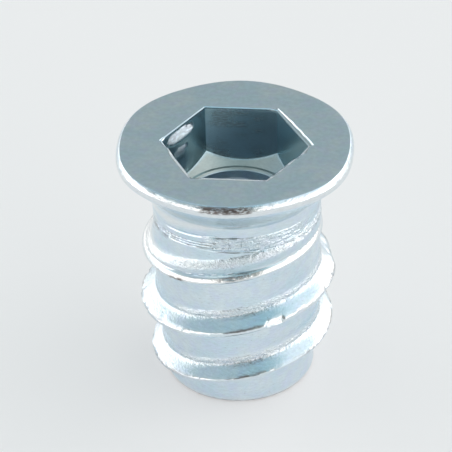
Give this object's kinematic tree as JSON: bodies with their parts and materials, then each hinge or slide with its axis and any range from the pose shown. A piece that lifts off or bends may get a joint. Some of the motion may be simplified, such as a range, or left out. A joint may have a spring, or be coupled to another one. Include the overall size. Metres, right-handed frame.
{
  "type": "screw-in insert nut with hex socket",
  "caption": "Screw-in insert nut: flange with a hexagon drive socket, round shank with a coarse outside wood thread, plain pilot end and a bore right through.",
  "frame": {"origin": "centre of the flat pilot end, which the nut stands on", "axes": "+Z along the bore from the pilot end to the flange, +X through a corner of the hexagon socket"},
  "size_m": [0.015, 0.0152, 0.017],
  "materials": {
    "zinc_plated_steel": "bright zinc plated with a faint blue passivation, satin on the flange's top face"
  },
  "bodies": {
    "root": {"insert_nut": "zinc_plated_steel"}
  },
  "joints": []
}
